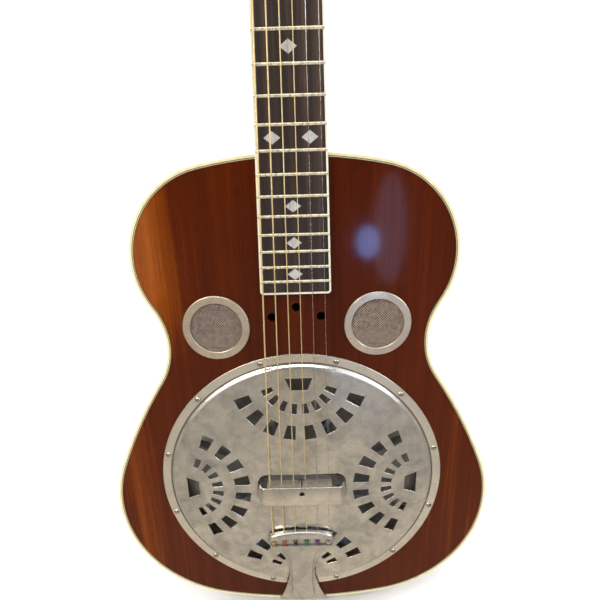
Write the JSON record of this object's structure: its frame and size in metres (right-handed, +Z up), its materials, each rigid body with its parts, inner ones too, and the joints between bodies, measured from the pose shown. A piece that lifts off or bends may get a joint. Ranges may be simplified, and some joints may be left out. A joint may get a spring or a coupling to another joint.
{
  "type": "resonator guitar",
  "caption": "Wooden resonator guitar with a metal cone under a pierced coverplate, two mesh screens, a slotted headstock and worm geared tuners.",
  "frame": {"origin": "on the centre line at the nut's playing edge, in the plane of the soundboard's front, where a hanger's yoke holds the neck", "axes": "+Z up the neck, -Y out of the front, +X to the treble side"},
  "size_m": [0.3736, 0.102, 0.9739],
  "materials": {
    "mahogany_top": "gloss lacquer",
    "mahogany_body": "gloss lacquer",
    "binding": "aged cream, polished",
    "purfling_dark": "gloss",
    "purfling_light": "gloss",
    "bare_wood": "bare",
    "cone_aluminium": "spun, satin",
    "spider_cast": "cast, satin",
    "maple": "bare, smooth",
    "steel_screw": "plain",
    "nickel_plate": "worn satin nickel plating",
    "nickel_trim": "satin nickel plating",
    "woven_mesh": "woven wire",
    "neck_wood": "gloss lacquer",
    "rosewood": "satin",
    "fret_nickel": "polished nickel silver",
    "pearl": "pearl",
    "bone": "polished",
    "veneer": "gloss lacquer",
    "tuner_nickel": "nickel plating",
    "button_cream": "polished",
    "string_bronze": "wound",
    "string_steel": "polished",
    "ball_colours": "coloured anodised",
    "heel_cap": "aged cream, polished"
  },
  "bodies": {
    "guitar": {"soundboard": "mahogany_top", "back_plate": "mahogany_body", "side_rim": "mahogany_body", "top_binding": "binding", "back_binding": "binding", "top_purfling_dark": "purfling_dark", "top_purfling_light": "purfling_light", "linings": "bare_wood", "neck_block": "bare_wood", "tail_block": "bare_wood", "top_braces": "bare_wood", "back_braces": "bare_wood", "soundwell": "bare_wood", "resonator_cone": "cone_aluminium", "spider_bridge": "spider_cast", "saddles": "maple", "tension_screw": "steel_screw", "coverplate": "nickel_plate", "coverplate_screws": "nickel_trim", "handrest": "nickel_plate", "screen_rings": "nickel_trim", "screen_meshes": "woven_mesh", "tailpiece": "nickel_plate", "tailpiece_screws": "nickel_trim", "end_pin": "nickel_trim", "neck": "neck_wood", "neck_stick": "bare_wood", "heel_cap": "heel_cap", "fingerboard": "rosewood", "fingerboard_binding": "binding", "frets": "fret_nickel", "position_inlays": "pearl", "nut": "bone", "headstock_veneer": "veneer", "tuner_plate_bass": "tuner_nickel", "tuner_plate_treble": "tuner_nickel", "tuner_screws": "steel_screw", "wound_strings": "string_bronze", "plain_strings": "string_steel", "ball_ends": "ball_colours"},
    "key_1": {"key_shaft_1": "tuner_nickel", "key_button_1": "button_cream"},
    "post_1": {"string_post_1": "tuner_nickel"},
    "key_6": {"key_shaft_6": "tuner_nickel", "key_button_6": "button_cream"},
    "post_6": {"string_post_6": "tuner_nickel"},
    "key_2": {"key_shaft_2": "tuner_nickel", "key_button_2": "button_cream"},
    "post_2": {"string_post_2": "tuner_nickel"},
    "key_5": {"key_shaft_5": "tuner_nickel", "key_button_5": "button_cream"},
    "post_5": {"string_post_5": "tuner_nickel"},
    "key_3": {"key_shaft_3": "tuner_nickel", "key_button_3": "button_cream"},
    "post_3": {"string_post_3": "tuner_nickel"},
    "key_4": {"key_shaft_4": "tuner_nickel", "key_button_4": "button_cream"},
    "post_4": {"string_post_4": "tuner_nickel"}
  },
  "joints": [
    {"name": "key_1_turn", "type": "hinge", "parent": "guitar", "child": "key_1", "pos_m": [0.0412, 0.01912, 0.04862], "axis": [0, -0.9703, 0.2419], "continuous": true},
    {"name": "post_1_turn", "type": "hinge", "parent": "guitar", "child": "post_1", "pos_m": [0, 0.02131, 0.0574], "axis": [1, 0, 0], "continuous": true},
    {"name": "key_6_turn", "type": "hinge", "parent": "guitar", "child": "key_6", "pos_m": [-0.0412, 0.01912, 0.04862], "axis": [0, -0.9703, 0.2419], "continuous": true},
    {"name": "post_6_turn", "type": "hinge", "parent": "guitar", "child": "post_6", "pos_m": [0, 0.02131, 0.0574], "axis": [1, 0, 0], "continuous": true},
    {"name": "key_2_turn", "type": "hinge", "parent": "guitar", "child": "key_2", "pos_m": [0.0412, 0.02783, 0.08355], "axis": [0, -0.9703, 0.2419], "continuous": true},
    {"name": "post_2_turn", "type": "hinge", "parent": "guitar", "child": "post_2", "pos_m": [0, 0.03002, 0.09233], "axis": [1, 0, 0], "continuous": true},
    {"name": "key_5_turn", "type": "hinge", "parent": "guitar", "child": "key_5", "pos_m": [-0.0412, 0.02783, 0.08355], "axis": [0, -0.9703, 0.2419], "continuous": true},
    {"name": "post_5_turn", "type": "hinge", "parent": "guitar", "child": "post_5", "pos_m": [0, 0.03002, 0.09233], "axis": [1, 0, 0], "continuous": true},
    {"name": "key_3_turn", "type": "hinge", "parent": "guitar", "child": "key_3", "pos_m": [0.0412, 0.03654, 0.11848], "axis": [0, -0.9703, 0.2419], "continuous": true},
    {"name": "post_3_turn", "type": "hinge", "parent": "guitar", "child": "post_3", "pos_m": [0, 0.03873, 0.12726], "axis": [1, 0, 0], "continuous": true},
    {"name": "key_4_turn", "type": "hinge", "parent": "guitar", "child": "key_4", "pos_m": [-0.0412, 0.03654, 0.11848], "axis": [0, -0.9703, 0.2419], "continuous": true},
    {"name": "post_4_turn", "type": "hinge", "parent": "guitar", "child": "post_4", "pos_m": [0, 0.03873, 0.12726], "axis": [1, 0, 0], "continuous": true}
  ],
  "couplings": [
    {"joint": "post_1_turn", "follows": "key_1_turn", "ratio": 0.071429},
    {"joint": "post_6_turn", "follows": "key_6_turn", "ratio": -0.071429},
    {"joint": "post_2_turn", "follows": "key_2_turn", "ratio": 0.071429},
    {"joint": "post_5_turn", "follows": "key_5_turn", "ratio": -0.071429},
    {"joint": "post_3_turn", "follows": "key_3_turn", "ratio": 0.071429},
    {"joint": "post_4_turn", "follows": "key_4_turn", "ratio": -0.071429}
  ]
}
